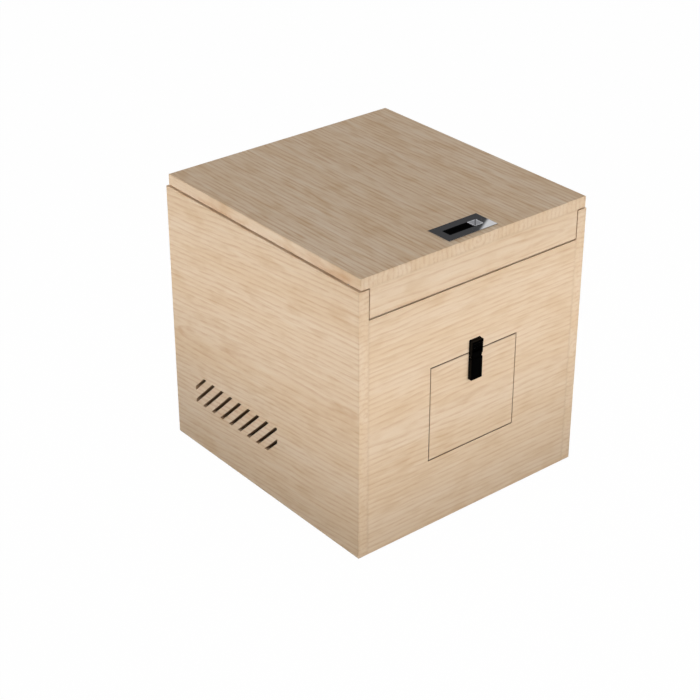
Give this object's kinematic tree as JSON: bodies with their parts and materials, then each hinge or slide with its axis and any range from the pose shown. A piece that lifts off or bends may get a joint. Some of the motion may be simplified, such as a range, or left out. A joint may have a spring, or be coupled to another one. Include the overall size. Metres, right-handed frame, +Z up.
{
  "type": "book drop box",
  "caption": "Wooden book return box with a hinged lid and front lip, a recessed metal pull, a small latched front flap and slanted ventilation slots.",
  "frame": {"origin": "middle of the box's footprint, on the floor", "axes": "+X to the right seen from the front, +Y to the back, +Z up"},
  "size_m": [0.45, 0.4832, 0.4729],
  "materials": {
    "board_wood": "pale maple, clear matt oil",
    "dowel_wood": "bare beech",
    "felt": "dark grey wool felt",
    "bumper": "clear-grey soft rubber",
    "pull_metal": "polished",
    "latch_black": "satin black",
    "latch_steel": "black zinc",
    "hinge_steel": "satin"
  },
  "bodies": {
    "carcass": {"back_panel": "board_wood", "back_panel_dowels": "dowel_wood", "bottom_panel": "board_wood", "bottom_panel_dowels": "dowel_wood", "drop_mat": "felt", "flap_hinge_frame_screws": "hinge_steel", "flap_hinge_left_frame_leaf": "hinge_steel", "flap_hinge_left_pin": "hinge_steel", "flap_hinge_right_frame_leaf": "hinge_steel", "flap_hinge_right_pin": "hinge_steel", "flap_stop_rail": "board_wood", "flap_stop_rail_screws": "hinge_steel", "front_panel": "board_wood", "front_panel_dowels": "dowel_wood", "latch_keeper": "latch_black", "latch_keeper_screw": "latch_steel", "left_side_panel": "board_wood", "lid_bumpers": "bumper", "lid_hinge_frame_screws": "hinge_steel", "lid_hinge_left_frame_leaf": "hinge_steel", "lid_hinge_left_pin": "hinge_steel", "lid_hinge_right_frame_leaf": "hinge_steel", "lid_hinge_right_pin": "hinge_steel", "right_side_panel": "board_wood"},
    "lid": {"lid_panel": "board_wood", "lid_lip": "board_wood", "lip_dowels": "dowel_wood", "flush_pull": "pull_metal", "flush_pull_screws": "hinge_steel", "lid_hinge_left_lid_leaf": "hinge_steel", "lid_hinge_right_lid_leaf": "hinge_steel", "lid_hinge_lid_screws": "hinge_steel"},
    "flap": {"flap_panel": "board_wood", "flap_hinge_left_flap_leaf": "hinge_steel", "flap_hinge_right_flap_leaf": "hinge_steel", "flap_hinge_flap_screws": "hinge_steel", "latch_base": "latch_black", "latch_base_screws": "latch_steel", "latch_lever_rivets": "latch_steel"},
    "latch_lever": {"latch_lever": "latch_black", "latch_bail_pin": "latch_steel"},
    "latch_bail": {"latch_bail": "latch_black"}
  },
  "joints": [
    {"name": "lid_hinge", "type": "hinge", "parent": "carcass", "child": "lid", "pos_m": [0, 0.2355, 0.453], "axis": [-1, 0, 0], "range_deg": [0, 100]},
    {"name": "flap_hinge", "type": "hinge", "parent": "carcass", "child": "flap", "pos_m": [0, -0.2325, 0.1403], "axis": [1, 0, 0], "range_deg": [0, 90]},
    {"name": "latch_lever_hinge", "type": "hinge", "parent": "flap", "child": "latch_lever", "pos_m": [0, -0.2409, 0.281], "axis": [-1, 0, 0], "range_deg": [0, 90]},
    {"name": "latch_bail_hinge", "type": "hinge", "parent": "latch_lever", "child": "latch_bail", "pos_m": [0, -0.2409, 0.274], "axis": [-1, 0, 0], "range_deg": [-90, 0]}
  ],
  "couplings": [
    {"joint": "latch_bail_hinge", "follows": "latch_lever_hinge", "ratio": -1}
  ]
}
